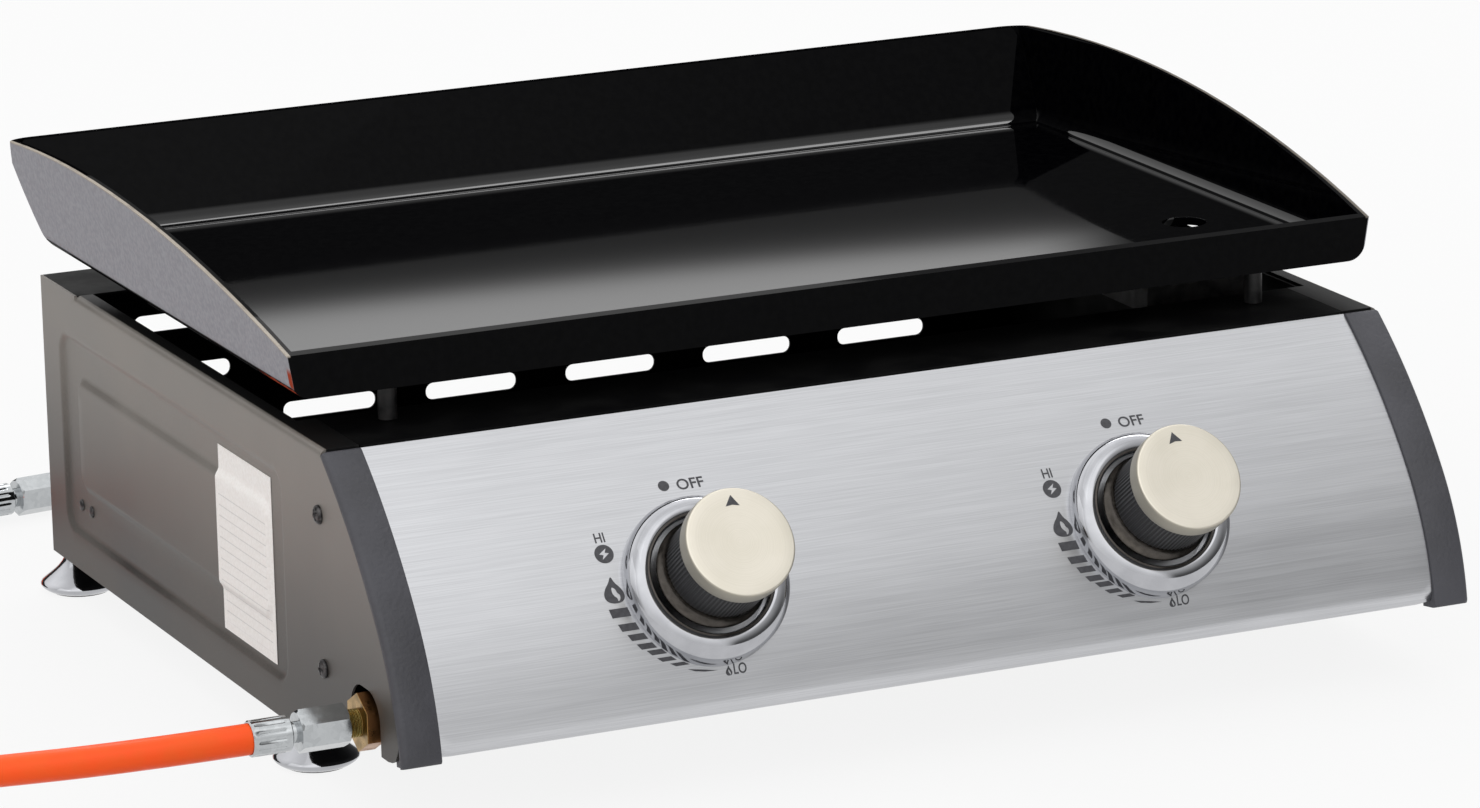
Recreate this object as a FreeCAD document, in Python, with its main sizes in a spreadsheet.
import FreeCAD, Part
import math
import os
import re
import Sketcher

V = FreeCAD.Vector
doc = FreeCAD.newDocument("tabletop_grill")
sizes = doc.addObject("Spreadsheet::Sheet", "sizes")

# Every independent size of the part, in mm and degrees, is written once here.
SIZES = [
    ("body_w", 550, "width over the side panels"),
    ("rear_y", 247, "back face of the body"),
    ("top_z", 164, "top of the side panels"),
    ("base_z", 20, "underside of the body"),
    ("sheet_t", 1.2, "casing sheet"),
    ("fit", 0.15, "gap where two casing pieces meet"),
    ("tilt", 35, "knob axis above level"),
    ("knob_gap", 229, "distance between the two knob axes"),
    ("knob_y", -205, "front panel at the knob axis"),
    ("knob_z", 97, "front panel at the knob axis"),
    ("bow_up", 296, "front panel radius above the knobs"),
    ("bow_low", 138, "front panel radius below the knobs"),
    ("top_over", 1.006, "side panels above the front panel"),
    ("bow_low_deg", 11.8, "slope where the front panel curls under"),
    ("panel_t", 1, "front panel sheet"),
    ("cap_w", 19.25, "width of an end cap"),
    ("curl_r", 7, "radius of the curl under the front panel"),
    ("curl_len", 14, "flat behind the curl"),
    ("stem_hole_r", 9, "knob hole in the front panel"),
    ("cap_proud", 1.5, "end cap in front of the panel"),
    ("cap_edge", 2.5, "side panel edge behind the panel face"),
    ("cap_deep", 10, "end cap behind the panel face"),
    ("cap_low_deg", 8, "slope where the end caps end at the bottom"),
    ("cap_round", 3.2, "rounded outer edge of the end caps"),
    ("nose_in", 2.2, "lower corner of the side panels behind the curl"),
    ("nose_drop", 1.3, "side panels below the curl"),
    ("nose_cut", 3, "bevel of the lower corner of the side panels"),
    ("step_front", 53.5, "front of the slope in the underside, behind the knob axis"),
    ("step_long", 45, "length of the slope in the underside"),
    ("inlet_in", 19.4, "gas inlet axis behind the knob axis"),
    ("inlet_z", 48.2, "gas inlet axis"),
    ("notch_half", 18, "half width of the inlet notch"),
    ("notch_top_z", 64, "top of the inlet notch"),
    ("notch_r", 14, "corner radius of the inlet notch"),
    ("press_front", 7.5, "front of the pressed field in the side panels, behind the firebox wall"),
    ("press_rear", 26, "pressed field from the back"),
    ("press_under", 19.5, "pressed field above the underside"),
    ("press_over", 24, "pressed field below the top"),
    ("press_r", 10, "corner radius of the pressed field"),
    ("press_in", 1.8, "depth of the pressed field"),
    ("isle_front", 19, "raised island behind the front of the field"),
    ("isle_rear", 22, "raised island from the rear of the field"),
    ("isle_under", 25.5, "raised island above the bottom of the field"),
    ("isle_over", 19.5, "raised island below the top of the field"),
    ("isle_r", 8, "corner radius of the raised island"),
    ("flange_w", 9.5, "top flange of the side panels beside the firebox"),
    ("ledge", 52, "width of the ledge on top of the back panel"),
    ("vent_w", 51, "vent slot length"),
    ("vent_h", 9, "vent slot height"),
    ("vent_r", 4.2, "vent slot corner radius"),
    ("vent_step_x", 79, "vent slot spacing across"),
    ("vent_step_z", 27.4, "vent slot spacing up"),
    ("vent_up", 57, "lowest vent row above the underside"),
    ("vent_off", 4, "vent slots to the left of the middle"),
    ("tub_in", 10.5, "firebox inside the side panel faces"),
    ("tub_t", 1, "firebox sheet"),
    ("tub_up", 25, "firebox above the underside"),
    ("tub_front", 111.5, "front of the firebox behind the knob axis"),
    ("rail_lap", 8, "front rail over the firebox"),
    ("rail_lip", 10, "lip of the front rail"),
    ("foot_in", 11, "feet inside the side panel faces"),
    ("foot_front", 2, "front feet behind the firebox wall"),
    ("foot_rear", 8.5, "rear feet from the back"),
    ("foot_r", 20.5, "largest radius of a foot"),
    ("foot_top_r", 7, "radius of a foot at the top"),
    ("foot_wide_z", 4.5, "height of the largest radius"),
    ("foot_edge", 2.2, "band round a foot"),
    ("foot_flat_r", 17, "radius of a foot at the bottom"),
    ("foot_low_z", 1, "chrome above the table"),
    ("pad_r", 15, "rubber pad radius"),
    ("foot_bolt_r", 3, "foot bolt shank radius"),
    ("foot_head_r", 5, "foot bolt head radius"),
    ("foot_head_h", 3.6, "foot bolt head height"),
    ("screw_in", 69, "side screws behind the knob axis"),
    ("screw_over", 31.2, "upper side screw below the top"),
    ("screw_step", 73.2, "distance between the side screws"),
    ("screw_r", 4.5, "side screw head radius"),
    ("screw_h", 2.6, "side screw head height"),
    ("rivet_in", 43.4, "rear rivet from the back"),
    ("rivet_step", 14.8, "distance between the rear rivets"),
    ("rivet_up", 34, "rear rivets above the underside"),
    ("rivet_r", 2.9, "rivet head radius"),
    ("rivet_h", 1.6, "rivet head height"),
    ("bezel_r", 40, "bezel outer radius"),
    ("bezel_hole_r", 28.7, "bezel opening radius"),
    ("bezel_h", 10, "bezel height"),
    ("bezel_round", 8, "rounded outer edge of the bezel"),
    ("bezel_lip", 3, "rounded inner edge of the bezel"),
    ("bezel_skirt", 7, "bezel skirt below the knob axis point"),
    ("knob_base_r", 26.8, "flared base of the knob"),
    ("knob_base_z", 8.5, "knob base above the panel"),
    ("knob_grip_r", 24.6, "ribbed grip radius"),
    ("knob_grip_z", 17, "where the grip starts"),
    ("knob_face_r", 26.5, "face cap radius"),
    ("knob_face_z", 39.5, "where the face cap starts"),
    ("knob_top_z", 49.5, "knob face above the panel"),
    ("knob_bevel", 2, "bevel round the face"),
    ("rib_count", 30, "ribs round the grip"),
    ("rib_deep", 0.7, "depth of the grooves between ribs"),
    ("rib_half", 1.1, "half width of a groove"),
    ("knob_push", 4, "knob travel when pushed"),
    ("stem_r", 4, "valve stem radius"),
    ("stem_flat", 1.2, "flat on the valve stem"),
    ("stem_fit", 0.05, "running clearance of the stem and plug"),
    ("valve_r", 14, "valve housing radius"),
    ("valve_front", 11, "valve housing behind the panel"),
    ("valve_long", 41, "length of the valve housing"),
    ("valve_nose", 4, "thickness of the valve front wall"),
    ("plug_r", 8, "valve plug radius"),
    ("plug_long", 18, "valve plug length"),
    ("plug_back", 5, "wall behind the valve plug"),
    ("stem_in", 8, "stem in the plug at rest"),
    ("collar_r", 7.2, "stem collar radius"),
    ("collar_t", 1.2, "stem collar thickness"),
    ("part_gap", 0.35, "gap between pieces that move apart"),
    ("pipe_r", 6.5, "manifold pipe radius"),
    ("pipe_t", 1.5, "manifold pipe wall"),
    ("pipe_past", 22, "manifold past the right valve"),
    ("neck_r", 6, "valve inlet and outlet radius"),
    ("jet_up", 25, "gas jet and burner axis above the firebox floor"),
    ("outlet_long", 44.1, "end of the valve outlet behind the gas inlet axis"),
    ("jet_seat", 6, "jet inside the valve outlet"),
    ("jet_r", 3.5, "jet radius"),
    ("jet_long", 12, "jet length"),
    ("burner_r", 12.5, "burner tube radius"),
    ("burner_t", 0.8, "burner tube wall"),
    ("burner_gap", 4, "burner mouth behind the valve outlet"),
    ("burner_rear", 45, "closed end of the burner from the back"),
    ("burner_fit", 0.3, "gap round the burner where it passes a wall"),
    ("port_r", 1.5, "burner port radius"),
    ("port_in", 33.5, "first burner port behind the firebox wall"),
    ("port_count", 20, "burner ports on each side"),
    ("port_step", 13, "distance between burner ports"),
    ("stand_rear", 51, "burner stand from the back"),
    ("stand_foot", 12, "foot of the burner stand"),
    ("stand_past", 35.5, "burner stand past the burner axis"),
    ("stand_up", 14, "burner stand above the burner axis"),
    ("spark_x", 24, "electrode beside the burner axis"),
    ("spark_up", 14, "electrode axis above the burner axis"),
    ("spark_r", 3.5, "electrode ceramic radius"),
    ("spark_front", 10, "ceramic in front of the firebox wall"),
    ("spark_rear", 30, "ceramic behind the firebox wall"),
    ("pin_r", 0.9, "electrode pin radius"),
    ("pin_reach", 16, "electrode pin length"),
    ("click_w", 14, "spark unit width"),
    ("click_long", 26, "spark unit length"),
    ("lead_r", 1.3, "ignition lead radius"),
    ("clip_w", 12, "manifold clip width"),
    ("clip_x", 60, "manifold clips from the middle"),
    ("hex_af", 24, "inlet flange across flats"),
    ("hex_t", 8, "inlet flange thickness"),
    ("hex_out", 4, "inlet flange outside the side panel"),
    ("thread_r", 6.58, "inlet thread radius"),
    ("thread_long", 13, "inlet thread length"),
    ("gas_bore_r", 3.2, "gas way radius"),
    ("nut_af", 18, "union nut across flats"),
    ("nut_long", 23.5, "union nut length"),
    ("nut_lap", 7, "inlet thread inside the union nut"),
    ("nut_thread", 15, "thread inside the union nut"),
    ("nut_relief", 0.4, "relief behind the thread of the union nut"),
    ("nut_wall", 3.5, "back wall of the union nut"),
    ("tail_r", 4.9, "hose tail radius"),
    ("tail_fit", 0.06, "union nut on the hose tail"),
    ("tail_head_r", 6, "hose tail head radius"),
    ("tail_head", 4, "hose tail head length"),
    ("tail_bare", 4, "hose tail seen between nut and ferrule"),
    ("ferrule_r", 8.4, "ferrule radius"),
    ("ferrule_long", 19, "ferrule length"),
    ("flute_r", 0.9, "ferrule flute radius"),
    ("flute_count", 12, "ferrule flutes"),
    ("hose_r", 7.2, "hose radius"),
    ("hose_lap", 8, "hose inside the ferrule"),
    ("hose_bore_r", 4.2, "hose bore radius"),
    ("rear_nut_x", -237, "middle of the loose union nut"),
    ("rear_nut_y", 386.5, "middle of the loose union nut"),
    ("rear_nut_z", 10.6, "middle of the loose union nut"),
    ("rear_deg", 7.7, "direction of the loose end"),
    ("pan_over", 12.5, "griddle past the side panels"),
    ("pan_lean", 9, "lean of the griddle side walls"),
    ("pan_front", 84.5, "front of the griddle behind the knob axis"),
    ("pan_back", 13, "griddle past the back"),
    ("pan_lift", 19, "griddle above the side panels"),
    ("pan_deck", 6, "cooking surface above the griddle rim"),
    ("pan_t", 4, "griddle wall"),
    ("pan_floor_t", 4, "griddle floor"),
    ("pan_heel", 42, "rear end of the griddle underside from its back"),
    ("pan_back_r", 155, "curve of the back wall"),
    ("pan_foot", 7, "rounded strip between floor and back wall"),
    ("pan_round", 8, "rounded lower edges of the griddle sides"),
    ("pan_weld", 6, "fillet between floor and side walls"),
    ("pan_corner", 15, "rounded rear corners of the griddle"),
    ("pan_rim", 8, "solid rim round the hollow underside"),
    ("crest_in", 110, "highest point of the side walls from the back of the griddle"),
    ("crest_up", 55, "highest point of the side walls above the griddle rim"),
    ("crest_r", 1100, "curve of the side wall tops"),
    ("drain_in", 58.5, "drain hole from the side of the griddle"),
    ("drain_front", 91, "drain hole behind the front of the griddle"),
    ("drain_r", 11, "drain hole radius"),
    ("stud_in", 48, "griddle studs inside the side panel faces"),
    ("stud_front", 17.5, "front griddle studs behind the front of the griddle"),
    ("stud_rear", 44, "rear griddle studs from the back"),
    ("stud_r", 4.5, "griddle stud radius"),
    ("cup_off", 10, "middle of the grease cup beside the drain hole"),
    ("cup_w", 60, "grease cup across"),
    ("cup_long", 72, "grease cup front to back"),
    ("cup_deep", 24, "grease cup depth"),
    ("cup_t", 0.8, "grease cup sheet"),
    ("cup_rim", 6, "grease cup rim"),
    ("runner_drop", 9, "cup runners below the griddle floor"),
    ("runner_lip", 5, "lip of the cup runners"),
]

# Sizes that follow from the ones above.
DERIVED = [
    ("half_w", "body_w / 2"),
    ("inner_half", "half_w - sheet_t - fit"),
    ("knob_x", "knob_gap / 2"),
    ("up_y", "knob_y + bow_up * cos(tilt)"),
    ("up_z", "knob_z - bow_up * sin(tilt)"),
    ("low_y", "knob_y + bow_low * cos(tilt)"),
    ("low_z", "knob_z - bow_low * sin(tilt)"),
    ("curl_y", "low_y - (bow_low - curl_r) * cos(bow_low_deg)"),
    ("curl_z", "low_z + (bow_low - curl_r) * sin(bow_low_deg)"),
    ("panel_w", "body_w - 2 * cap_w"),
    ("bow_top_deg", "asin((top_z - top_over - up_z) / bow_up)"),
    ("nose_y", "curl_y + nose_in"),
    ("nose_z", "curl_z - curl_r - nose_drop"),
    ("step_front_y", "knob_y + step_front"),
    ("step_rear_y", "step_front_y + step_long"),
    ("inlet_y", "knob_y + inlet_in"),
    ("press_y0", "tub_front_y + press_front"),
    ("press_y1", "rear_y - press_rear"),
    ("press_z0", "base_z + press_under"),
    ("press_z1", "top_z - press_over"),
    ("isle_y0", "press_y0 + isle_front"),
    ("isle_y1", "press_y1 - isle_rear"),
    ("isle_z0", "press_z0 + isle_under"),
    ("isle_z1", "press_z1 - isle_over"),
    ("vent_z", "base_z + vent_up"),
    ("tub_half", "half_w - tub_in"),
    ("tub_floor_z", "base_z + tub_up"),
    ("tub_front_y", "knob_y + tub_front"),
    ("rail_back_y", "tub_front_y + rail_lap"),
    ("foot_x", "half_w - foot_in"),
    ("foot_front_y", "tub_front_y + foot_front"),
    ("foot_rear_y", "rear_y - foot_rear"),
    ("screw_y", "knob_y + screw_in"),
    ("screw_top_z", "top_z - screw_over"),
    ("screw_low_z", "screw_top_z - screw_step"),
    ("rivet_y", "rear_y - rivet_in"),
    ("rivet_z", "base_z + rivet_up"),
    ("jet_z", "tub_floor_z + jet_up"),
    ("outlet_y", "inlet_y + outlet_long"),
    ("burner_front_y", "outlet_y + burner_gap"),
    ("burner_rear_y", "rear_y - burner_rear"),
    ("port_y", "tub_front_y + port_in"),
    ("stand_y", "rear_y - stand_rear"),
    ("stand_half", "knob_x + stand_past"),
    ("spark_z", "jet_z + spark_up"),
    ("spark_y0", "tub_front_y - spark_front"),
    ("spark_y1", "tub_front_y + spark_rear"),
    ("pan_w", "body_w + 2 * pan_over"),
    ("pan_front_y", "knob_y + pan_front"),
    ("pan_back_y", "rear_y + pan_back"),
    ("pan_z", "top_z + pan_lift"),
    ("pan_floor_z", "pan_z + pan_deck"),
    ("crest_y", "pan_back_y - crest_in"),
    ("crest_z", "pan_z + crest_up"),
    ("drain_x", "pan_w / 2 - drain_in"),
    ("drain_y", "pan_front_y + drain_front"),
    ("stud_x", "half_w - stud_in"),
    ("stud_front_y", "pan_front_y + stud_front"),
    ("stud_rear_y", "rear_y - stud_rear"),
    ("cup_x", "drain_x - cup_off"),
    ("floor_front_z", "curl_z - curl_r + panel_t + fit"),
    ("tub_top_z", "top_z - sheet_t - fit"),
    ("plug_z0", "0 - valve_front - valve_long + plug_back"),
    ("plug_z1", "plug_z0 + plug_long"),
    ("chamber_z1", "0 - valve_front - valve_nose"),
    ("collar_z1", "chamber_z1 - part_gap"),
    ("collar_z0", "collar_z1 - collar_t"),
    ("nut_in_x", "0 - half_w - hex_out - thread_long + nut_lap"),
    ("nut_out_x", "nut_in_x - nut_long"),
    ("ferrule_x", "nut_out_x - tail_bare"),
    ("hose_x", "ferrule_x - ferrule_long + hose_lap"),
    ("hose_end_z", "nut_long + tail_bare + ferrule_long"),
    ("pan_low_half", "pan_w / 2 - pan_lean"),
    ("pan_back_z", "crest_z - crest_r + sqrt(crest_r ^ 2 - (pan_back_y - crest_y) ^ 2)"),
    ("pan_lip_z", "crest_z - crest_r + sqrt(crest_r ^ 2 - (crest_y - pan_front_y) ^ 2)"),
    ("pan_lean_rate", "pan_lean / (crest_z - pan_z)"),
    ("pan_back_rate", "pan_heel / (pan_back_z - pan_z)"),
    ("pan_back_in", "pan_t * sqrt(1 + pan_back_rate ^ 2)"),
    ("strip_y", "pan_back_y - pan_heel + pan_back_rate * pan_deck - pan_back_in - pan_foot"),
    ("strip_dz", "pan_foot / sqrt(1 + pan_back_rate ^ 2)"),
    ("strip_dy", "pan_foot + strip_dz * pan_back_rate"),
    ("strip_bend", "(strip_dy ^ 2 + strip_dz ^ 2) / (2 * strip_dz)"),
    ("weld_bend", "pan_weld * ((1 + pan_lean_rate) ^ 2 + 1) / 2"),
    ("round_bend", "pan_round * ((1 + pan_lean_rate) ^ 2 + 1) / 2"),
    ("pan_under_z", "pan_floor_z - pan_floor_t"),
    ("stud_z", "top_z + part_gap"),
    ("cup_y0", "drain_y - cup_long / 2"),
    ("cup_y1", "drain_y + cup_long / 2"),
    ("runner_z", "pan_under_z - runner_drop"),
    ("cup_top_z", "runner_z + sheet_t + part_gap + cup_t"),
]

for row, (alias, value, meaning) in enumerate(SIZES, 1):
    sizes.set(f"A{row}", meaning)
    sizes.set(f"B{row}", str(value))
    sizes.setAlias(f"B{row}", alias)
for row, (alias, formula) in enumerate(DERIVED, len(SIZES) + 1):
    sizes.set(f"B{row}", "=" + formula)
    sizes.setAlias(f"B{row}", alias)
doc.recompute()

ALIASES = {entry[0] for entry in SIZES} | {entry[0] for entry in DERIVED}
nodes = []


def bound(text):
    """The expression with every size named as a cell of the sheet."""
    return re.sub(r"[a-z_][a-z_0-9]*", lambda m: "sizes." + m[0] if m[0] in ALIASES else m[0], text)


def num(text):
    """The value of an expression now."""
    value = doc.getObject("sizes").evalExpression(bound(text))
    return float(getattr(value, "Value", value))


def node(obj, name):
    """Makes an object one of the part's named pieces."""
    obj.Label = name
    nodes.append(obj)
    return obj


def place(obj, x="0", y="0", z="0", axis=None, angle="0"):
    """Puts an object where the expressions say."""
    turn = FreeCAD.Rotation(V(*axis), num(angle)) if axis else FreeCAD.Rotation()
    obj.Placement = FreeCAD.Placement(V(num(x), num(y), num(z)), turn)
    for side, text in (("x", x), ("y", y), ("z", z)):
        obj.setExpression(f"Placement.Base.{side}", bound(text))
    if axis:
        obj.setExpression("Placement.Rotation.Angle", bound(angle))
    return obj


def on_knob(obj, x):
    """Puts an object on a knob axis, with its own Z along the axis and out of the panel."""
    return place(obj, x, "knob_y", "knob_z", (1, 0, 0), "90 - tilt")


def body(name):
    return doc.addObject("PartDesign::Body", name)


def sketch(owner, plane, offset="0"):
    """An empty sketch on one of the body's own planes."""
    made = owner.newObject("Sketcher::SketchObject", owner.Name + "_sketch")
    role = plane + "_Plane"
    made.AttachmentSupport = ([f for f in owner.Origin.OriginFeatures if f.Role == role][0], "")
    made.MapMode = "FlatFace"
    made.AttachmentOffset = FreeCAD.Placement(V(0, 0, num(offset)), FreeCAD.Rotation())
    made.setExpression("AttachmentOffset.Base.z", bound(offset))
    return made


def arc_between(a, b, radius, turn):
    """The short arc from a to b, to the left when turn is 1 and to the right when it is -1."""
    chord = b - a
    side = V(-chord.y, chord.x, 0).normalize() * turn
    centre = (a + b) / 2 + side * math.sqrt(max(radius**2 - chord.Length**2 / 4, 0))
    first, last = (a, b) if turn > 0 else (b, a)
    angles = [math.atan2(p.y - centre.y, p.x - centre.x) for p in (first, last)]
    return Part.ArcOfCircle(Part.Circle(centre, V(0, 0, 1), radius), *angles)


def outline(made, points, arcs=None):
    """A closed line through points, with arcs as {side: (radius, turn)}, every size an expression."""
    arcs = arcs or {}
    spots = [V(num(u), num(v), 0) for u, v in points]
    ends = []
    for i, a in enumerate(spots):
        b = spots[(i + 1) % len(spots)]
        if i in arcs:
            radius, turn = arcs[i]
            geo = made.addGeometry(arc_between(a, b, num(radius), turn))
            ends.append((geo, 1, 2) if turn > 0 else (geo, 2, 1))
        else:
            geo = made.addGeometry(Part.LineSegment(a, b))
            ends.append((geo, 1, 2))
    for i, (geo, first, last) in enumerate(ends):
        after = ends[(i + 1) % len(ends)]
        made.addConstraint(Sketcher.Constraint("Coincident", geo, last, after[0], after[1]))
    for (geo, first, last), (u, v), spot in zip(ends, points, spots):
        for kind, text, value in (("DistanceX", u, spot.x), ("DistanceY", v, spot.y)):
            k = made.addConstraint(Sketcher.Constraint(kind, -1, 1, geo, first, value))
            made.setExpression(f"Constraints[{k}]", bound(text))
    for i, (radius, turn) in arcs.items():
        k = made.addConstraint(Sketcher.Constraint("Radius", ends[i][0], num(radius)))
        made.setExpression(f"Constraints[{k}]", bound(radius))
    return made


def circle(made, u, v, radius):
    """A circle with its centre and radius as expressions."""
    geo = made.addGeometry(Part.Circle(V(num(u), num(v), 0), V(0, 0, 1), num(radius)))
    for kind, text in (("DistanceX", u), ("DistanceY", v)):
        k = made.addConstraint(Sketcher.Constraint(kind, -1, 1, geo, 3, num(text)))
        made.setExpression(f"Constraints[{k}]", bound(text))
    k = made.addConstraint(Sketcher.Constraint("Radius", geo, num(radius)))
    made.setExpression(f"Constraints[{k}]", bound(radius))
    return made


def rectangle(made, u0, v0, u1, v1):
    return outline(made, [(u0, v0), (u1, v0), (u1, v1), (u0, v1)])


def rounded(made, u0, v0, u1, v1, r):
    """A rectangle with rounded corners."""
    ways = [
        (f"{u0} + {r}", v0), (f"{u1} - {r}", v0), (u1, f"{v0} + {r}"), (u1, f"{v1} - {r}"),
        (f"{u1} - {r}", v1), (f"{u0} + {r}", v1), (u0, f"{v1} - {r}"), (u0, f"{v0} + {r}"),
    ]
    return outline(made, ways, {i: (r, 1) for i in (1, 3, 5, 7)})


def feature(kind, owner, made, length, back=False):
    """A pad or pocket of a sketch; back sends a pad against its normal and a pocket along it."""
    result = owner.newObject("PartDesign::" + kind, owner.Name + "_" + kind.lower())
    result.Profile = made
    result.Reversed = back
    result.setExpression("Length", bound(length))
    doc.recompute()
    return result


def pad(owner, made, length, back=False):
    return feature("Pad", owner, made, length, back)


def pocket(owner, made, length, back=False):
    """A pocket that has to take something away."""
    before = owner.Shape.Volume
    result = feature("Pocket", owner, made, length, back)
    if owner.Shape.Volume > before - 0.01:
        raise ValueError(f"{owner.Name}: a pocket cuts nothing")
    return result


def turned(owner, points, arcs=None):
    """A body of revolution about its own Z, from radius and height pairs."""
    made = outline(sketch(owner, "XZ"), points, arcs)
    result = owner.newObject("PartDesign::Revolution", owner.Name + "_turn")
    result.Profile = made
    result.ReferenceAxis = (made, ["V_Axis"])
    result.Angle = 360
    doc.recompute()
    return owner


def around(owner, original, count):
    """The feature repeated round the body's own Z axis."""
    result = owner.newObject("PartDesign::PolarPattern", owner.Name + "_round")
    result.Originals = [original]
    result.Axis = (original.Profile[0], ["N_Axis"])
    result.Angle = 360
    result.setExpression("Occurrences", bound(count))
    owner.Tip = result
    doc.recompute()
    return result


def along(owner, original, axis, step, count):
    """The feature repeated in a row along an axis of its sketch."""
    result = owner.newObject("PartDesign::LinearPattern", owner.Name + "_row")
    result.Originals = [original]
    result.Direction = (original.Profile[0], [axis])
    result.setExpression("Length", bound(f"({step}) * ({count} - 1)"))
    result.setExpression("Occurrences", bound(count))
    owner.Tip = result
    doc.recompute()
    return result


def rounding(owner, base, edges, radius):
    """Rounds the edges of a feature that pass a test."""
    names = [f"Edge{i}" for i, edge in enumerate(base.Shape.Edges, 1) if edges(edge)]
    result = owner.newObject("PartDesign::Fillet", owner.Name + "_round")
    result.Base = (base, names)
    result.setExpression("Radius", bound(radius))
    doc.recompute()
    return result


def box(name, x, y, z, length, width, height):
    made = doc.addObject("Part::Box", name)
    for side, text in (("Length", length), ("Width", width), ("Height", height)):
        made.setExpression(side, bound(text))
    return place(made, x, y, z)


def cylinder(name, radius, height, x="0", y="0", z="0", axis=None, angle="0"):
    made = doc.addObject("Part::Cylinder", name)
    made.setExpression("Radius", bound(radius))
    made.setExpression("Height", bound(height))
    return place(made, x, y, z, axis, angle)


def prism(name, across, height, x, y, z, axis, angle):
    """A hexagon with its size across the flats."""
    made = doc.addObject("Part::Prism", name)
    made.Polygon = 6
    made.setExpression("Circumradius", bound(f"({across}) / sqrt(3)"))
    made.setExpression("Height", bound(height))
    return place(made, x, y, z, axis, angle)


def joined(name, pieces):
    made = doc.addObject("Part::MultiFuse", name)
    made.Shapes = pieces
    return made


def shared(name, pieces):
    made = doc.addObject("Part::MultiCommon", name)
    made.Shapes = pieces
    return made


def without(name, base, tools):
    """A piece with others cut away."""
    made = doc.addObject("Part::Cut", name)
    made.Base = base
    made.Tool = tools[0] if len(tools) == 1 else joined(name + "_tools", tools)
    return made


def group(name, pieces):
    made = doc.addObject("Part::Compound", name)
    made.Links = pieces
    return made


def bow(offset, low="bow_low_deg"):
    """Three points of the front profile, top to bottom, moved out by an offset."""
    return [
        (f"up_y - (bow_up + {offset}) * cos(bow_top_deg)", f"up_z + (bow_up + {offset}) * sin(bow_top_deg)"),
        (f"knob_y - ({offset}) * cos(tilt)", f"knob_z + ({offset}) * sin(tilt)"),
        (f"low_y - (bow_low + {offset}) * cos({low})", f"low_z + (bow_low + {offset}) * sin({low})"),
    ]


def bow_arcs(offset, first, turn=1):
    """The two arcs between the points of bow, from side number first."""
    radii = [f"bow_up + {offset}", f"bow_low + {offset}"]
    return {first + i: (r, turn) for i, r in enumerate(radii if turn > 0 else radii[::-1])}


def band(made, outer, inner, low):
    """The strip between two offsets of the front profile."""
    points = bow(outer, low) + bow(inner, low)[::-1]
    return outline(made, points, {**bow_arcs(outer, 0), **bow_arcs(inner, 3, -1)})


# Side panels: pressed sheets with a recessed field, a raised island, a top flange and the inlet notch.
def side_panel(name, sign, notch):
    owner = node(body(name), name)
    right = sign > 0
    face = "half_w" if right else "0 - half_w"
    edge = bow("(0 - cap_edge)")
    points = [("rear_y", "base_z"), ("rear_y", "top_z"), (edge[0][0], "top_z")] + edge
    points += [("nose_y - nose_cut", "nose_z + nose_cut"), ("nose_y + 2 * nose_cut", "nose_z")]
    arcs = bow_arcs("(0 - cap_edge)", 3)
    if notch:
        left, far = "inlet_y - notch_half", "inlet_y + notch_half"
        start = len(points)
        points += [(left, "nose_z"), (left, "notch_top_z - notch_r"), (left + " + notch_r", "notch_top_z")]
        points += [(far + " - notch_r", "notch_top_z"), (far, "notch_top_z - notch_r"), (far, "nose_z")]
        arcs[start + 1] = ("notch_r", -1)
        arcs[start + 3] = ("notch_r", -1)
    points += [("step_front_y", "nose_z"), ("step_rear_y", "base_z")]
    pad(owner, outline(sketch(owner, "YZ", face), points, arcs), "sheet_t", right)

    def level(depth):
        return f"{face} - ({depth})" if right else f"{face} + ({depth})"

    def field(depth, grow):
        made = sketch(owner, "YZ", level(depth))
        return rounded(made, f"press_y0 - {grow}", f"press_z0 - {grow}",
                       f"press_y1 + {grow}", f"press_z1 + {grow}", f"(press_r + {grow})")

    def isle(depth, grow):
        made = sketch(owner, "YZ", level(depth))
        return rounded(made, f"isle_y0 + {grow}", f"isle_z0 + {grow}",
                       f"isle_y1 - {grow}", f"isle_z1 - {grow}", f"(isle_r - {grow})")

    pad(owner, field("sheet_t", "sheet_t"), "press_in", right)
    pocket(owner, field("0", "0"), "press_in", not right)
    pad(owner, isle("press_in", "0"), "press_in", not right)
    pocket(owner, isle("sheet_t", "sheet_t"), "press_in", not right)

    def flange(inner_end, front, rear):
        ends = ["half_w - sheet_t / 2", inner_end]
        low, high = ends[::-1] if right else [f"0 - ({end})" for end in ends]
        pad(owner, rectangle(sketch(owner, "XY", "top_z"), low, front, high, rear), "sheet_t", True)

    flange("panel_w / 2 + fit", edge[0][0] + " + fit", "rail_back_y")
    flange("half_w - flange_w", "rail_back_y - sheet_t", "rear_y - ledge - fit")
    return owner


side_panel("side_panel_left", -1, True)
side_panel("side_panel_right", 1, False)

# Back panel: an angle with a ledge for the griddle studs and rows of vent slots.
owner = node(body("back_panel"), "back_panel")
corner = [
    ("rear_y", "base_z + sheet_t + fit"), ("rear_y", "top_z"), ("rear_y - ledge", "top_z"),
    ("rear_y - ledge", "top_z - sheet_t"), ("rear_y - sheet_t", "top_z - sheet_t"),
    ("rear_y - sheet_t", "base_z + sheet_t + fit"),
]
pad(owner, outline(sketch(owner, "YZ", "0 - inner_half"), corner), "2 * inner_half")
for lift in range(3):
    low = f"(vent_z + vent_step_z * {lift} - vent_h / 2)"
    first = "(0 - vent_step_x * 2.5 - vent_w / 2 - vent_off)"
    slot = sketch(owner, "XZ", "0 - rear_y")
    rounded(slot, first, low, first + " + vent_w", low + " + vent_h", "vent_r")
    along(owner, pocket(owner, slot, "2 * sheet_t", True), "H_Axis", "vent_step_x", "6")

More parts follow.
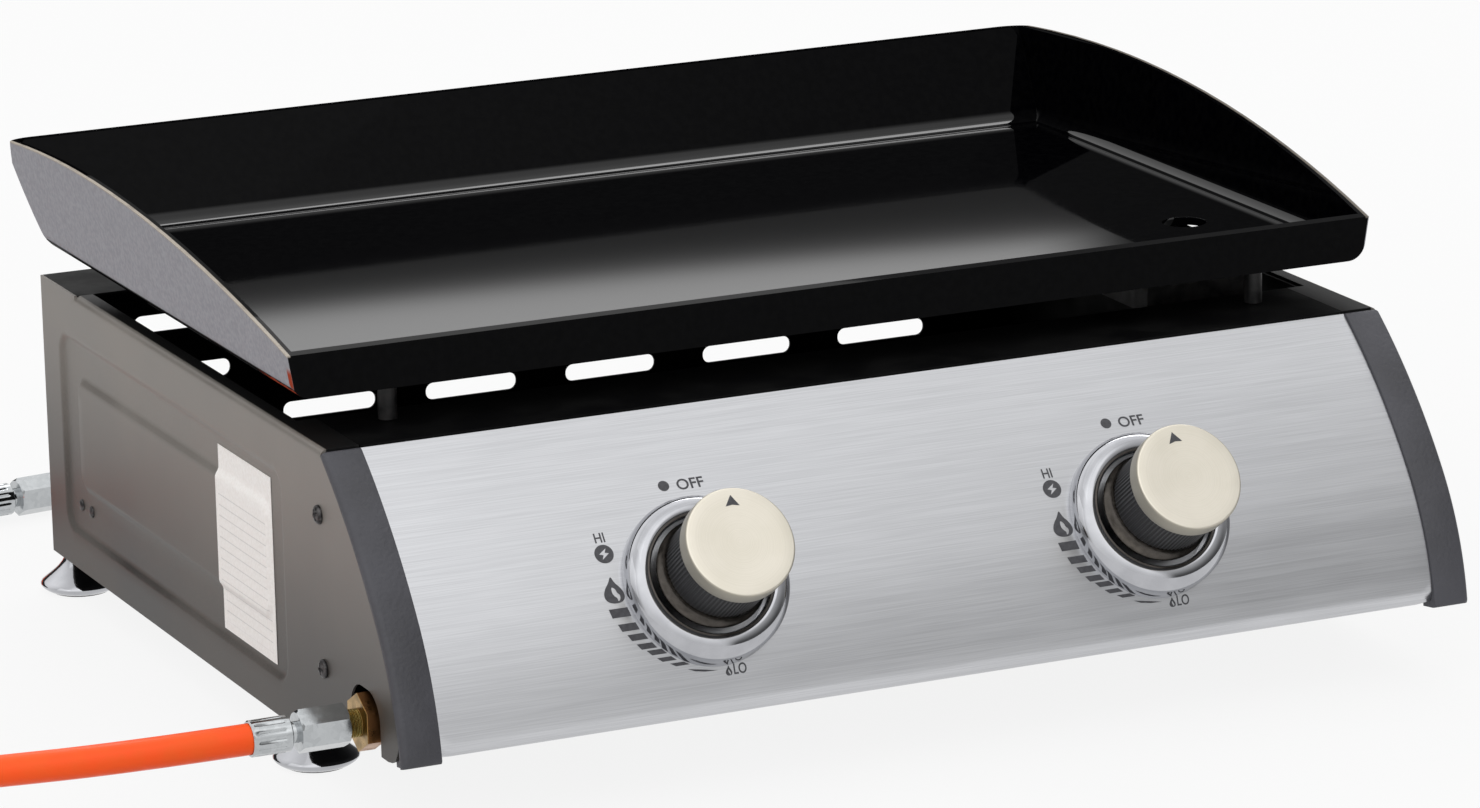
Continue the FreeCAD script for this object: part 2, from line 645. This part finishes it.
# Base plate: one bent sheet under the firebox and the control box.
owner = node(body("base_plate"), "base_plate")
under = [
    ("rear_y", "base_z"), ("step_rear_y", "base_z"), ("step_front_y", "floor_front_z"),
    ("nose_y + 2 * nose_cut", "floor_front_z"),
]
over = [(u, f"{v} + sheet_t") for u, v in under[::-1]]
pad(owner, outline(sketch(owner, "YZ", "0 - inner_half"), under + over), "2 * inner_half")

# Firebox: a channel with outward flanges and a front wall that the burners and electrodes pass.
owner = node(body("firebox"), "firebox")
right_side = [
    ("inner_half", "tub_top_z"), ("inner_half", "tub_top_z - tub_t"), ("tub_half", "tub_top_z - tub_t"),
    ("tub_half", "tub_floor_z"),
]
left_side = [("0 - " + u, v) for u, v in right_side[::-1]]
inside = [
    ("0 - tub_half + tub_t", "tub_top_z"), ("0 - tub_half + tub_t", "tub_floor_z + tub_t"),
    ("tub_half - tub_t", "tub_floor_z + tub_t"), ("tub_half - tub_t", "tub_top_z"),
]
channel = outline(sketch(owner, "XZ", "0 - tub_front_y"), right_side + left_side + inside)
pad(owner, channel, "rear_y - sheet_t - fit - tub_front_y", True)
wall = sketch(owner, "XZ", "0 - tub_front_y")
rectangle(wall, "0 - tub_half + tub_t / 2", "tub_floor_z + tub_t / 2", "tub_half - tub_t / 2", "tub_top_z")
for side in ("0 - knob_x", "knob_x"):
    circle(wall, side, "jet_z", "burner_r + burner_fit")
    circle(wall, f"{side} + spark_x", "spark_z", "spark_r")
pad(owner, wall, "tub_t", True)

# Front rail: the black strip between the front panel and the firebox.
owner = node(body("front_rail"), "front_rail")
rail_front = "up_y - (bow_up - panel_t) * cos(bow_top_deg) + fit"
angle_bar = [
    ("rail_back_y", "top_z"), (rail_front, "top_z"), (rail_front, "top_z - rail_lip"),
    (f"{rail_front} + sheet_t", "top_z - rail_lip"), (f"{rail_front} + sheet_t", "top_z - sheet_t"),
    ("rail_back_y", "top_z - sheet_t"),
]
pad(owner, outline(sketch(owner, "YZ", "0 - panel_w / 2 + fit"), angle_bar), "panel_w - 2 * fit")

# Front panel: a bowed stainless sheet with a curl under its lower edge and two knob holes.
owner = node(body("front_panel"), "front_panel")
outer, inner = bow("0"), bow("(0 - panel_t)")
curl = [
    ("curl_y", "curl_z - curl_r"), ("curl_y + curl_len", "curl_z - curl_r"),
    ("curl_y + curl_len", "curl_z - curl_r + panel_t"), ("curl_y", "curl_z - curl_r + panel_t"),
]
arcs = {**bow_arcs("0", 0), 2: ("curl_r", 1), 6: ("curl_r - panel_t", -1), **bow_arcs("(0 - panel_t)", 7, -1)}
pad(owner, outline(sketch(owner, "YZ", "0 - panel_w / 2"), outer + curl + inner[::-1], arcs), "panel_w")
drills = []
for side in ("0 - knob_x", "knob_x"):
    drills.append(on_knob(cylinder("panel_drill", "stem_hole_r", "4 * stem_hole_r"), side))
for drill in drills:
    drill.setExpression("Placement.Base.y", bound("knob_y + 2 * stem_hole_r * cos(tilt)"))
    drill.setExpression("Placement.Base.z", bound("knob_z - 2 * stem_hole_r * sin(tilt)"))
nodes.pop()
owner.Label = "front_panel_sheet"
node(without("front_panel", owner, drills), "front_panel")

# End caps: plastic trims that close the ends of the front panel.
for name, start, tuck in (
    ("end_cap_left", "0 - half_w", "0 - inner_half"),
    ("end_cap_right", "panel_w / 2 + fit", "panel_w / 2 + fit"),
):
    owner = node(body(name), name)
    shelf = "(0 - cap_edge + fit)"
    cover = band(sketch(owner, "YZ", start), "cap_proud", shelf, "cap_low_deg")
    pad(owner, cover, "half_w - panel_w / 2 - fit")
    tongue = band(sketch(owner, "YZ", tuck), shelf, "(0 - cap_deep)", "cap_low_deg")
    strip = pad(owner, tongue, "inner_half - panel_w / 2 - fit")
    reach = num("half_w")
    front = num("cap_proud")

    def outer_edge(edge):
        """The front edges on the outside of the cap."""
        at = edge.valueAt((edge.FirstParameter + edge.LastParameter) / 2)
        ends = [v.Point for v in edge.Vertexes]
        if abs(abs(at.x) - reach) > 0.01 or any(abs(abs(p.x) - reach) > 0.01 for p in ends):
            return False
        hub = (num("up_y"), num("up_z"), num("bow_up")) if at.z > num("knob_z") else (
            num("low_y"), num("low_z"), num("bow_low"))
        return abs(math.hypot(at.y - hub[0], at.z - hub[1]) - hub[2] - front) < 0.05

    rounding(owner, strip, outer_edge, "cap_round")

# Feet: chromed cones, rubber pads and the bolts that hold them to the base plate.
FEET = [
    (f"{depth}_{side}", x, y)
    for depth, y in (("front", "foot_front_y"), ("rear", "foot_rear_y"))
    for side, x in (("left", "0 - foot_x"), ("right", "foot_x"))
]
cone = [
    ("foot_bolt_r", "foot_low_z"), ("foot_flat_r", "foot_low_z"), ("foot_r", "foot_wide_z"),
    ("foot_r - foot_edge / 2", "foot_wide_z + foot_edge"), ("foot_top_r", "base_z"),
    ("foot_bolt_r", "base_z"),
]
for name, x, y in FEET:
    place(turned(node(body("foot_" + name), "foot_" + name), cone, {1: ("foot_wide_z", 1)}), x, y)
node(group("foot_pads", [cylinder("pad", "pad_r", "foot_low_z", x, y) for _, x, y in FEET]), "foot_pads")
bolts = []
for name, x, y in FEET:
    shank = cylinder("bolt", "foot_bolt_r", "base_z + sheet_t - foot_low_z - 1", x, y, "foot_low_z + 1")
    bolts.append(shank)
    bolts.append(cylinder("bolt_head", "foot_head_r", "foot_head_h", x, y, "base_z + sheet_t"))
holes = [cylinder("bolt_hole", "foot_bolt_r", "4 * sheet_t", x, y, "base_z - sheet_t") for _, x, y in FEET]
heads = [joined("foot_bolt", bolts[i:i + 2]) for i in range(0, len(bolts), 2)]
node(group("foot_bolts", heads), "foot_bolts")
plate = [n for n in nodes if n.Label == "base_plate"][0]
nodes.remove(plate)
plate.Label = "base_plate_sheet"
notch_y, notch_w = "inlet_y - notch_half", "2 * notch_half"
notch = box("plate_notch", "0 - half_w", notch_y, "base_z", "hex_t", notch_w, "2 * base_z")
node(without("base_plate", plate, holes + [notch]), "base_plate")


def across(name, radius, height, x, y, z):
    """A cylinder along +X."""
    return cylinder(name, radius, height, x, y, z, (0, 1, 0), "90")


def back_from(name, radius, height, x, y, z):
    """A cylinder along +Y."""
    return cylinder(name, radius, height, x, y, z, (1, 0, 0), "-90")


# Screws and rivets on both side panels.
heads, rivets = [], []
for start, start_rivet in (
    ("0 - half_w - screw_h", "0 - half_w + press_in - rivet_h"), ("half_w", "half_w - press_in"),
):
    for z in ("screw_top_z", "screw_low_z"):
        heads.append(across("screw", "screw_r", "screw_h", start, "screw_y", z))
    for y in ("rivet_y", "rivet_y - rivet_step"):
        rivets.append(across("rivet", "rivet_r", "rivet_h", start_rivet, y, "rivet_z"))
node(group("panel_screws", heads), "panel_screws")
node(group("side_rivets", rivets), "side_rivets")

# Bezels: rounded chrome rings whose skirts follow the bow of the panel.
core = body("panel_core")
inside = bow("fit / 3")
behind = [("knob_y + 60", inside[2][1]), ("knob_y + 60", inside[0][1])]
pad(core, outline(sketch(core, "YZ", "0 - half_w"), inside + behind, bow_arcs("fit / 3", 0)), "2 * half_w")
ring = [
    ("bezel_hole_r", "0 - bezel_skirt"), ("bezel_r", "0 - bezel_skirt"), ("bezel_r", "bezel_h - bezel_round"),
    ("bezel_r - bezel_round", "bezel_h"), ("bezel_hole_r + bezel_lip", "bezel_h"),
    ("bezel_hole_r", "bezel_h - bezel_lip"),
]
for side, x in (("left", "0 - knob_x"), ("right", "knob_x")):
    hoop = on_knob(turned(body("ring_" + side), ring, {2: ("bezel_round", 1), 4: ("bezel_lip", 1)}), x)
    node(without("bezel_" + side, hoop, [core]), "bezel_" + side)


def keyed(name, radius, flat, z0, length, x):
    """A round bar with a flat, on a knob axis."""
    owner = body(name)
    edge = f"(({radius}) - ({flat}))"
    reach = f"sqrt(({radius}) ^ 2 - {edge} ^ 2)"
    made = sketch(owner, "XY", z0)
    outline(made, [(reach, edge), ("0 - " + reach, edge), ("0", f"0 - ({radius})")],
            {1: (radius, 1), 2: (radius, 1)})
    pad(owner, made, length)
    return on_knob(owner, x)


# Gas valves: housing, turning plug, sliding stem and jet on each knob axis.
for side, x in (("left", "0 - knob_x"), ("right", "knob_x")):
    shell = on_knob(cylinder("housing", "valve_r", "valve_long"), x)
    for way, sign in (("y", "+"), ("z", "-")):
        share = "cos(tilt)" if way == "y" else "sin(tilt)"
        back_end = f"knob_{way} {sign} (valve_front + valve_long) * {share}"
        shell.setExpression(f"Placement.Base.{way}", bound(back_end))
    feed = cylinder("feed", "neck_r", "jet_z - inlet_z + 2 * neck_r", x, "inlet_y", "inlet_z")
    outlet = back_from("outlet", "neck_r", "outlet_y - inlet_y - valve_r", x, "inlet_y + valve_r", "jet_z")
    chamber = on_knob(turned(body("chamber"), [
        ("0", "plug_z0"), ("plug_r + stem_fit", "plug_z0"), ("plug_r + stem_fit", "chamber_z1"),
        ("stem_r + stem_fit", "chamber_z1"), ("stem_r + stem_fit", "1 - valve_front"),
        ("0", "1 - valve_front"),
    ]), x)
    pipe = across("pipe_way", "pipe_r", "4 * valve_r", f"{x} - 2 * valve_r", "inlet_y", "inlet_z")
    jet_way = back_from("jet_way", "jet_r", "2 * jet_seat", x, "outlet_y - jet_seat", "jet_z")
    solid = joined("valve_solid", [shell, feed, outlet])
    node(without("valve_body_" + side, solid, [chamber, pipe, jet_way]), "valve_body_" + side)

    plug = on_knob(turned(body("plug_round"), [
        ("0", "plug_z0 + part_gap"), ("plug_r", "plug_z0 + part_gap"),
        ("plug_r", "plug_z1"), ("0", "plug_z1"),
    ]), x)
    keyway = keyed("plug_key", "stem_r + stem_fit", "stem_flat", "plug_z1 - stem_in - knob_push - 1",
                   "stem_in + knob_push + 3", x)
    node(without("valve_plug_" + side, plug, [keyway]), "valve_plug_" + side)

    rod_long = "knob_face_z - 2 - plug_z1 + stem_in"
    rod = keyed("stem_rod", "stem_r", "stem_flat", "plug_z1 - stem_in", rod_long, x)
    collar = on_knob(turned(body("stem_collar"), [
        ("0", "collar_z0"), ("collar_r", "collar_z0"), ("collar_r", "collar_z1"), ("0", "collar_z1"),
    ]), x)
    node(joined("valve_stem_" + side, [rod, collar]), "valve_stem_" + side)

    jet = back_from("jet_round", "jet_r", "jet_long", x, "outlet_y - jet_seat", "jet_z")
    bore = back_from("jet_bore", "jet_r / 3", "jet_long", x, "outlet_y - jet_seat", "jet_z")
    node(without("jet_" + side, jet, [bore]), "jet_" + side)

# Knobs: flared base, ribbed grip with a socket for the stem, and face cap.
for side, x in (("left", "0 - knob_x"), ("right", "knob_x")):
    flare = turned(node(body("knob_base_" + side), "knob_base_" + side), [
        ("knob_grip_r - 4", "knob_base_z"), ("knob_base_r", "knob_base_z"),
        ("knob_base_r", "knob_base_z + 1.5"), ("knob_grip_r", "knob_grip_z"),
        ("knob_grip_r - 4", "knob_grip_z"),
    ])
    on_knob(flare, x)
    grip = body("grip_" + side)
    turned(grip, [
        ("0", "knob_grip_z"), ("knob_grip_r", "knob_grip_z"),
        ("knob_grip_r", "knob_face_z"), ("0", "knob_face_z"),
    ])
    groove = sketch(grip, "XY", "knob_face_z")
    rectangle(groove, "0 - rib_half", "knob_grip_r - rib_deep", "rib_half", "knob_grip_r + 1")
    around(grip, pocket(grip, groove, "knob_face_z - knob_grip_z"), "rib_count")
    on_knob(grip, x)
    socket = keyed("socket", "stem_r", "stem_flat", "knob_grip_z - 1", "knob_face_z - 2 - knob_grip_z + 1", x)
    node(without("knob_grip_" + side, grip, [socket]), "knob_grip_" + side)
    face = turned(node(body("knob_face_" + side), "knob_face_" + side), [
        ("0", "knob_face_z"), ("knob_face_r", "knob_face_z"), ("knob_face_r", "knob_top_z - knob_bevel"),
        ("knob_face_r - knob_bevel", "knob_top_z"), ("0", "knob_top_z"),
    ], {2: ("knob_bevel", 1)})
    on_knob(face, x)


def tube(points, radius, bore):
    """A round tube along straight runs and tangent arcs, solid when bore is 0, and its bend radii."""
    edges, radii, start = [], [], points[0]
    for before, at, after in zip(points, points[1:], points[2:]):
        arrive, leave = at - before, after - at
        half = arrive.getAngle(leave) / 2
        cut = 0.45 * min(arrive.Length, leave.Length)
        radius_here = cut / math.tan(half)
        radii.append(round(radius_here, 1))
        first = at - V(arrive).normalize() * cut
        last = at + V(leave).normalize() * cut
        inward = (V(leave).normalize() - V(arrive).normalize()).normalize()
        middle = at + inward * (radius_here / math.cos(half) - radius_here)
        edges.append(Part.LineSegment(start, first).toShape())
        edges.append(Part.Arc(first, middle, last).toShape())
        start = last
    edges.append(Part.LineSegment(start, points[-1]).toShape())
    path = Part.Wire(edges)
    ahead = points[1] - points[0]

    def swept(size):
        ring = Part.Wire(Part.Circle(points[0], ahead, size).toShape())
        return path.makePipeShell([ring], True, False)

    solid = swept(radius)
    if abs(solid.Volume / (math.pi * radius**2 * path.Length) - 1) > 0.01:
        raise ValueError("a tube isn't as long as its path")
    return (solid.cut(swept(bore)) if bore else solid), radii, path.Length


# Burners: steel tubes with two rows of ports, held by the firebox wall and a stand.
for side, x in (("left", "0 - knob_x"), ("right", "knob_x")):
    owner = node(body("burner_" + side), "burner_" + side)
    ring = sketch(owner, "XZ", "0 - burner_front_y")
    circle(ring, "0", "0", "burner_r")
    pad(owner, ring, "burner_rear_y - burner_front_y", True)
    hollow = sketch(owner, "XZ", "0 - burner_front_y")
    circle(hollow, "0", "0", "burner_r - burner_t")
    pocket(owner, hollow, "burner_rear_y - burner_front_y - burner_t")
    ports = sketch(owner, "YZ", "0 - burner_r - 1")
    circle(ports, "port_y", "burner_r / 3", "port_r")
    along(owner, pocket(owner, ports, "2 * burner_r + 2", True), "H_Axis", "port_step", "port_count")
    place(owner, x, "0", "jet_z")

owner = node(body("burner_stand"), "burner_stand")
upright = sketch(owner, "XZ", "0 - stand_y")
rectangle(upright, "0 - stand_half", "tub_floor_z + tub_t", "stand_half", "jet_z + stand_up")
for side in ("0 - knob_x", "knob_x"):
    circle(upright, side, "jet_z", "burner_r + stem_fit")
pad(owner, upright, "sheet_t", True)
rim = sketch(owner, "XZ", "0 - stand_y")
rectangle(rim, "0 - stand_half", "tub_floor_z + tub_t", "stand_half", "tub_floor_z + tub_t + sheet_t")
pad(owner, rim, "stand_foot", True)

# Ignition: spark units on the valves, leads and electrodes beside the burners.
for side, x in (("left", "0 - knob_x"), ("right", "knob_x")):
    at = f"{x} + spark_x"
    ceramic = back_from("ceramic", "spark_r", "spark_y1 - spark_y0", at, "spark_y0", "spark_z")
    tip = back_from("tip", "pin_r", "pin_reach", at, "spark_y1", "spark_z")
    node(joined("electrode_" + side, [ceramic, tip]), "electrode_" + side)
    corner = (f"{x} + valve_r", "inlet_y + neck_r", "jet_z")
    node(box("spark_unit_" + side, *corner, "click_w", "click_long", "click_w"), "spark_unit_" + side)
    lead = node(doc.addObject("Part::Feature", "ignition_lead_" + side), "ignition_lead_" + side)
    level = num("jet_z + click_w / 2")
    begin = V(num(f"{x} + valve_r + click_w / 2"), num("inlet_y + neck_r + click_long"), level)
    end = V(num(at), num("spark_y0"), num("spark_z"))
    run = (end.y - begin.y) / 3
    lead.Shape = tube([begin, begin + V(0, run, 0), end - V(0, run, 0), end], num("lead_r"), 0)[0]

# Gas manifold: the pipe under the valves, its clips, and the inlet fitting in the side notch.
pipe_end = "knob_x + pipe_past"
start = "0 - half_w - hex_out + hex_t"
pipe = across("pipe", "pipe_r", f"{pipe_end} - ({start})", start, "inlet_y", "inlet_z")
bore = across("pipe_bore", "pipe_r - pipe_t", f"{pipe_end} - ({start}) - pipe_t", start, "inlet_y", "inlet_z")
node(without("gas_manifold", pipe, [bore]), "gas_manifold")
clips = []
for x in ("0 - clip_x - clip_w / 2", "clip_x - clip_w / 2"):
    low = "floor_front_z + sheet_t"
    post = box("clip", x, "inlet_y - pipe_r - 2", low, "clip_w", "2 * pipe_r + 4", "inlet_z - (" + low + ")")
    gap = across("clip_gap", "pipe_r", "clip_w", x, "inlet_y", "inlet_z")
    clips.append(without("manifold_clip", post, [gap]))
node(group("manifold_clips", clips), "manifold_clips")
flange_x, thread_x = "0 - half_w - hex_out", "0 - half_w - hex_out - thread_long"
flange = prism("flange", "hex_af", "hex_t", flange_x, "inlet_y", "inlet_z", (0, 1, 0), "90")
thread = across("thread", "thread_r", "thread_long", thread_x, "inlet_y", "inlet_z")
way = across("way", "gas_bore_r", "thread_long + hex_t + 2", thread_x + " - 1", "inlet_y", "inlet_z")
node(without("inlet_fitting", joined("inlet_solid", [flange, thread]), [way]), "inlet_fitting")


# Hose ends: a union nut, a tail and a fluted ferrule, each built along +Z from the mouth of the nut.
def hose_end(name, x, y, z, axis, angle):
    hexagon = prism("nut_hex", "nut_af", "nut_long", "0", "0", "0", (0, 0, 1), "0")
    mouth = cylinder("nut_mouth", "thread_r + tail_fit", "nut_thread")
    relief_r, relief_long = "thread_r + tail_fit + nut_relief", "nut_long - nut_wall - nut_thread"
    relief = cylinder("nut_relief", relief_r, relief_long, "0", "0", "nut_thread")
    throat = cylinder("nut_throat", "tail_r + tail_fit", "nut_long")
    nut = node(without("hose_nut_" + name, hexagon, [mouth, relief, throat]), "hose_nut_" + name)
    head_z, root, end = "nut_long - nut_wall - part_gap - tail_head", "nut_long + tail_bare", "hose_end_z"
    tail = turned(node(body("hose_tail_" + name), "hose_tail_" + name), [
        ("gas_bore_r", head_z), ("tail_head_r", head_z), ("tail_head_r", head_z + " + tail_head"),
        ("tail_r", head_z + " + tail_head"), ("tail_r", root), ("hose_bore_r", root), ("hose_bore_r", end),
        ("gas_bore_r", end),
    ])
    sleeve = node(body("hose_ferrule_" + name), "hose_ferrule_" + name)
    turned(sleeve, [
        ("tail_r", root), ("ferrule_r - 1", root), ("ferrule_r", root + " + 1"), ("ferrule_r", end + " - 1"),
        ("ferrule_r - 0.6", end), ("hose_r", end), ("hose_r", end + " - hose_lap"),
        ("tail_r", end + " - hose_lap"),
    ])
    flute = sketch(sleeve, "XY", end + " - 4")
    circle(flute, "ferrule_r + flute_r / 3", "0", "flute_r")
    around(sleeve, pocket(sleeve, flute, "ferrule_long - 4"), "flute_count")
    for piece in (nut, tail, sleeve):
        place(piece, x, y, z, axis, angle)


hose_end("front", "nut_in_x", "inlet_y", "inlet_z", (0, 1, 0), "-90")
rear = (
    "rear_nut_x + nut_long / 2 * cos(rear_deg)", "rear_nut_y + nut_long / 2 * sin(rear_deg)", "rear_nut_z",
)
hose_end("rear", *rear, (0, 1, 0), "-90")
spin = FreeCAD.Rotation(V(0, 0, 1), num("rear_deg")) * FreeCAD.Rotation(V(0, 1, 0), -90)
for piece in nodes[-3:]:
    piece.setExpression("Placement.Rotation.Angle", None)
    piece.Placement = FreeCAD.Placement(piece.Placement.Base, spin)

# Gas hose: from the front ferrule out to the left, down to the table and round to its loose end.
front_end = V(num("hose_x"), num("inlet_y"), num("inlet_z"))
back = V(math.cos(math.radians(num("rear_deg"))), math.sin(math.radians(num("rear_deg"))), 0)
tip = V(num("rear_nut_x"), num("rear_nut_y"), num("rear_nut_z"))
rear_end = tip - back * num("nut_long / 2 + tail_bare + ferrule_long - hose_lap")
rest_z = num("hose_r")
route = [
    front_end, front_end + V(-62, 0, 0), V(-453, -158, 42.5), V(-494, -92, 24), V(-496, -10, 9.5),
    V(-478, 90, rest_z), V(-449, 205, rest_z), V(-410, 298, rest_z + 0.2), V(-364, 349, rest_z + 1.4),
    rear_end - back * 48, rear_end,
]
hose = node(doc.addObject("Part::Feature", "gas_hose"), "gas_hose")
hose.Shape, bends, reach = tube(route, num("hose_r"), num("hose_bore_r"))
print("hose bends", bends, "length", round(reach, 1))

# Griddle: a heavy pan with a leaning back, curved side walls, a low front lip and a drain hole.
slab = body("pan_slab")
points = [
    ("pan_front_y", "pan_z"), ("pan_back_y - pan_heel", "pan_z"), ("pan_back_y", "pan_back_z"),
    ("pan_front_y", "pan_lip_z"),
]
arcs = {1: ("pan_back_r", 1), 2: ("crest_r", 1)}
pad(slab, outline(sketch(slab, "YZ", "0 - pan_w / 2"), points, arcs), "pan_w")
wedge = body("pan_wedge")
high = "(crest_z + 20)"
wide = f"(pan_low_half + pan_lean_rate * ({high} - pan_z))"
outline(sketch(wedge, "XZ", "0 - pan_back_y"), [
    ("0 - pan_low_half + pan_round", "pan_z"), ("pan_low_half - pan_round", "pan_z"),
    ("pan_low_half + pan_lean_rate * pan_round", "pan_z + pan_round"), (wide, high), ("0 - " + wide, high),
    ("0 - pan_low_half - pan_lean_rate * pan_round", "pan_z + pan_round"),
], {1: ("round_bend", 1), 5: ("round_bend", 1)})
pad(wedge, wedge.Group[-1], "pan_back_y - pan_front_y", False)
well = body("pan_well")
front = "pan_front_y + pan_t"
outline(sketch(well, "YZ", "0 - pan_w"), [
    (front, "pan_floor_z"), ("strip_y", "pan_floor_z"), ("strip_y + strip_dy", "pan_floor_z + strip_dz"),
    ("pan_back_y - pan_back_in", "pan_back_z"), ("pan_back_y - pan_back_in", high), (front, high),
], {1: ("strip_bend", 1)})
pad(well, well.Group[-1], "2 * pan_w")
room = body("pan_room")
low_in = "(pan_low_half + pan_lean_rate * (pan_floor_z - pan_z) - pan_t)"
wide_in = f"(pan_low_half + pan_lean_rate * ({high} - pan_z) - pan_t)"
outline(sketch(room, "XZ", "0 - pan_back_y"), [
    (f"0 - {low_in} + pan_weld", "pan_floor_z"), (f"{low_in} - pan_weld", "pan_floor_z"),
    (f"{low_in} + pan_lean_rate * pan_weld", "pan_floor_z + pan_weld"), (wide_in, high),
    ("0 - " + wide_in, high), (f"0 - {low_in} - pan_lean_rate * pan_weld", "pan_floor_z + pan_weld"),
], {1: ("weld_bend", 1), 5: ("weld_bend", 1)})
pad(room, room.Group[-1], "pan_back_y - pan_front_y", False)


def plan(name, half, back, corner):
    """A tall block with the griddle's outline from above, with its two rear corners rounded."""
    owner = body(name)
    outline(sketch(owner, "XY", "pan_z - 1"), [
        (f"0 - {half}", "pan_front_y - 1"), (half, "pan_front_y - 1"), (half, f"{back} - {corner}"),
        (f"{half} - {corner}", back), (f"0 - {half} + {corner}", back), (f"0 - {half}", f"{back} - {corner}"),
    ], {2: (corner, 1), 4: (corner, 1)})
    pad(owner, owner.Group[-1], f"{high} - pan_z + 1")
    return owner


under_half = "(pan_low_half - pan_round - pan_rim)"
hollow = box("pan_hollow", f"0 - {under_half}", "pan_front_y + pan_rim", "pan_z", f"2 * {under_half}",
             "pan_back_y - pan_heel - pan_front_y - 2 * pan_rim", "pan_under_z - pan_z")
drain = cylinder("drain", "drain_r", "2 * pan_deck", "drain_x", "drain_y", "pan_z")
plan_in = plan("pan_plan_in", "(pan_w / 2 - pan_t)", "(pan_back_y - pan_t)", "(pan_corner - pan_t)")
space = shared("pan_space", [well, room, plan_in])
plan_out = plan("pan_plan_out", "(pan_w / 2)", "pan_back_y", "pan_corner")
block = shared("pan_solid", [slab, wedge, plan_out])
node(without("griddle_pan", block, [space, hollow, drain]), "griddle_pan")
studs = [
    cylinder("stud", "stud_r", "pan_under_z - stud_z", x, y, "stud_z")
    for x in ("0 - stud_x", "stud_x") for y in ("stud_front_y", "stud_rear_y")
]
node(group("griddle_studs", studs), "griddle_studs")

# Grease cup: a shallow tray that slides on two runners under the drain hole.
runners = []
for web, lip in (
    ("cup_y0 - cup_rim - part_gap - sheet_t", "cup_y0 - cup_rim - part_gap - sheet_t"),
    ("cup_y1 + cup_rim + part_gap", "cup_y1 + cup_rim + part_gap + sheet_t - runner_lip"),
):
    upright = box("runner_web", "cup_x - cup_w / 2", web, "runner_z", "cup_w", "sheet_t", "runner_drop")
    shelf = box("runner_shelf", "cup_x - cup_w / 2", lip, "runner_z", "cup_w", "runner_lip", "sheet_t")
    runners.append(joined("runner", [upright, shelf]))
node(group("cup_runners", runners), "cup_runners")
cup_x0, cup_z0 = "cup_x - cup_w / 2", "cup_top_z - cup_deep"
outside = box("cup_out", cup_x0, "cup_y0", cup_z0, "cup_w", "cup_long", "cup_deep")
brim_long = "cup_long + 2 * cup_rim"
brim = box("cup_brim", cup_x0, "cup_y0 - cup_rim", "cup_top_z - cup_t", "cup_w", brim_long, "cup_t")
inside = box("cup_in", cup_x0 + " + cup_t", "cup_y0 + cup_t", cup_z0 + " + cup_t",
             "cup_w - 2 * cup_t", "cup_long - 2 * cup_t", "cup_deep")
node(without("grease_cup", joined("cup_solid", [outside, brim]), [inside]), "grease_cup")

doc.recompute()
for obj in doc.Objects:
    if "Invalid" in obj.State or "Error" in obj.State:
        raise ValueError(f"{obj.Label} is {obj.State}")
os.makedirs("parts", exist_ok=True)
for obj in nodes:
    if obj.Shape.isNull() or not obj.Shape.isValid() or not obj.Shape.Solids:
        raise ValueError(f"{obj.Label} has no valid shape")
    obj.Shape.exportStep(f"parts/{obj.Label}.step")
print("pieces", len(nodes))
